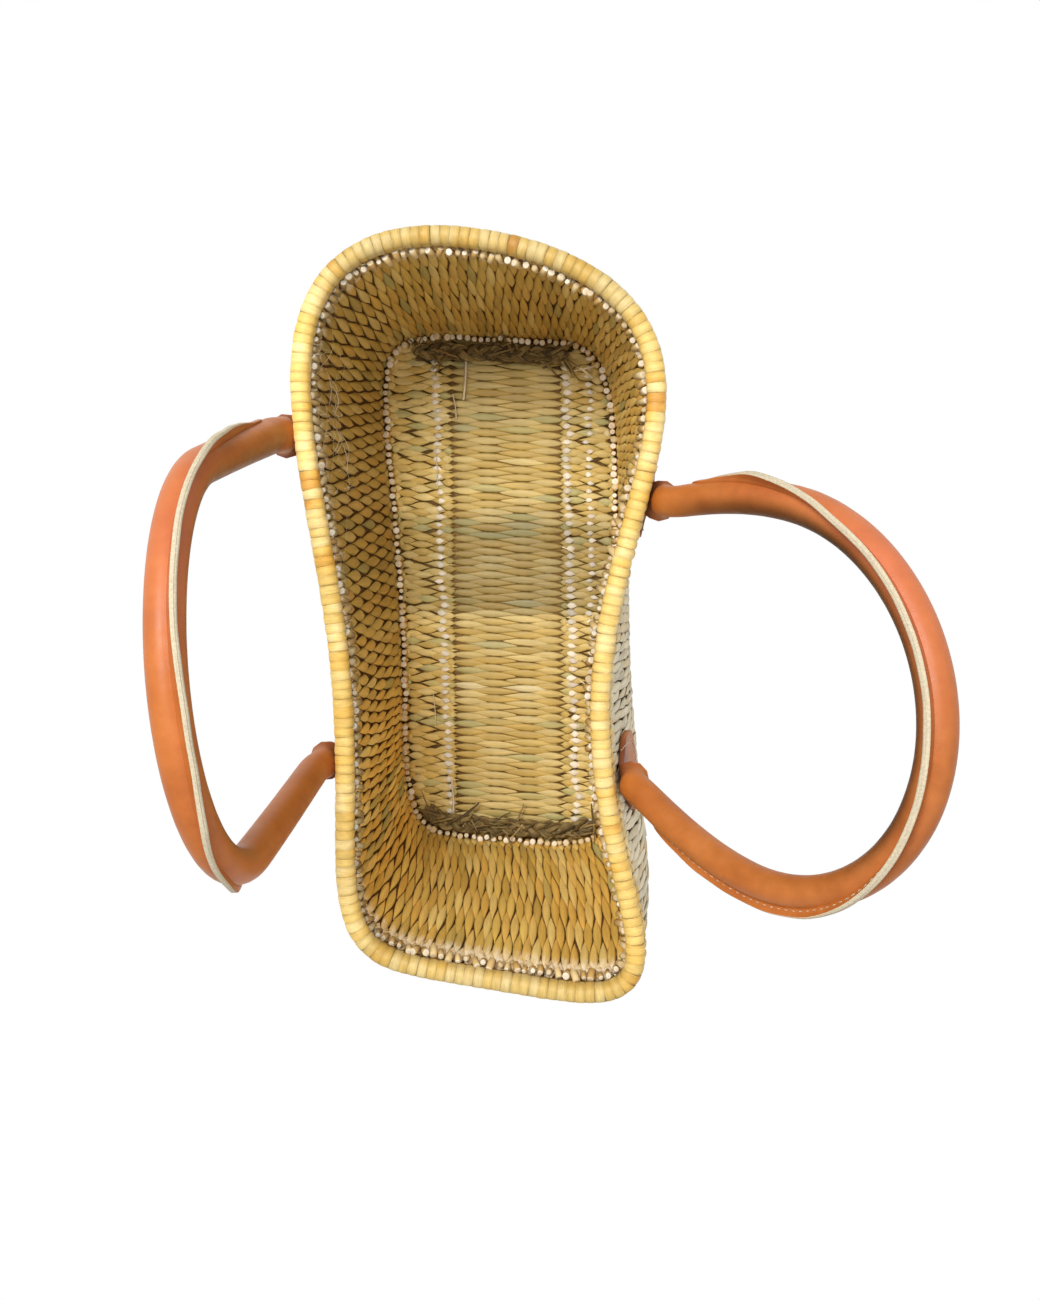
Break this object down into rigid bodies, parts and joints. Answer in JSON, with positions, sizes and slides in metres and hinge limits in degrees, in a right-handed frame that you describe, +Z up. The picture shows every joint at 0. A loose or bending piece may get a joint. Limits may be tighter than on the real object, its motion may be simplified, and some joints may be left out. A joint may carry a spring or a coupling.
{
  "type": "basket tote",
  "caption": "Open woven reed basket with a straw-wound rim and rolled leather carrying handles that swing over the opening or down outside.",
  "frame": {"origin": "middle of the underside of the floor, which rests on the ground", "axes": "+Z up, +Y along the basket to the end at the top of the picture, +X across the basket to the right of the picture, where the handle leans outwards"},
  "size_m": [0.3528, 0.4191, 0.3687],
  "materials": {
    "reed": "split reed, matte with a slight sheen",
    "floor_reed": "pale dry reed, matte",
    "pith": "cut reed pith, chalky",
    "straw": "flat straw, satin",
    "grass": "dry plaited grass, rough",
    "leather": "smooth vegetable-tanned leather, semi-gloss",
    "rope": "twisted fibre rope, rough",
    "thread": "waxed stitching thread"
  },
  "bodies": {
    "basket": {"wall": "reed", "floor_mat": "floor_reed", "floor_lap_left": "floor_reed", "floor_lap_right": "floor_reed", "floor_edge_stubs": "pith", "far_end_plait": "grass", "near_end_plait": "grass", "rim_core": "reed", "rim_binding": "straw", "rim_stubs": "pith", "left_far_tab": "leather", "left_far_tab_thread": "thread", "left_near_tab": "leather", "left_near_tab_thread": "thread", "right_far_tab": "leather", "right_far_tab_thread": "thread", "right_near_tab": "leather", "right_near_tab_thread": "thread"},
    "left_handle": {"left_sleeve": "leather", "left_rope_core": "rope", "left_seam_thread": "thread"},
    "right_handle": {"right_sleeve": "leather", "right_rope_core": "rope", "right_seam_thread": "thread"}
  },
  "joints": [
    {"name": "left_handle_swing", "type": "hinge", "parent": "basket", "child": "left_handle", "pos_m": [-0.09769, 0.00451, 0.188], "axis": [-0.1085, 0.9941, 0], "range_deg": [-144, 16]},
    {"name": "right_handle_swing", "type": "hinge", "parent": "basket", "child": "right_handle", "pos_m": [0.0947, -0.01997, 0.188], "axis": [-0.1122, -0.9937, 0], "range_deg": [-103.6, 56.4]}
  ]
}
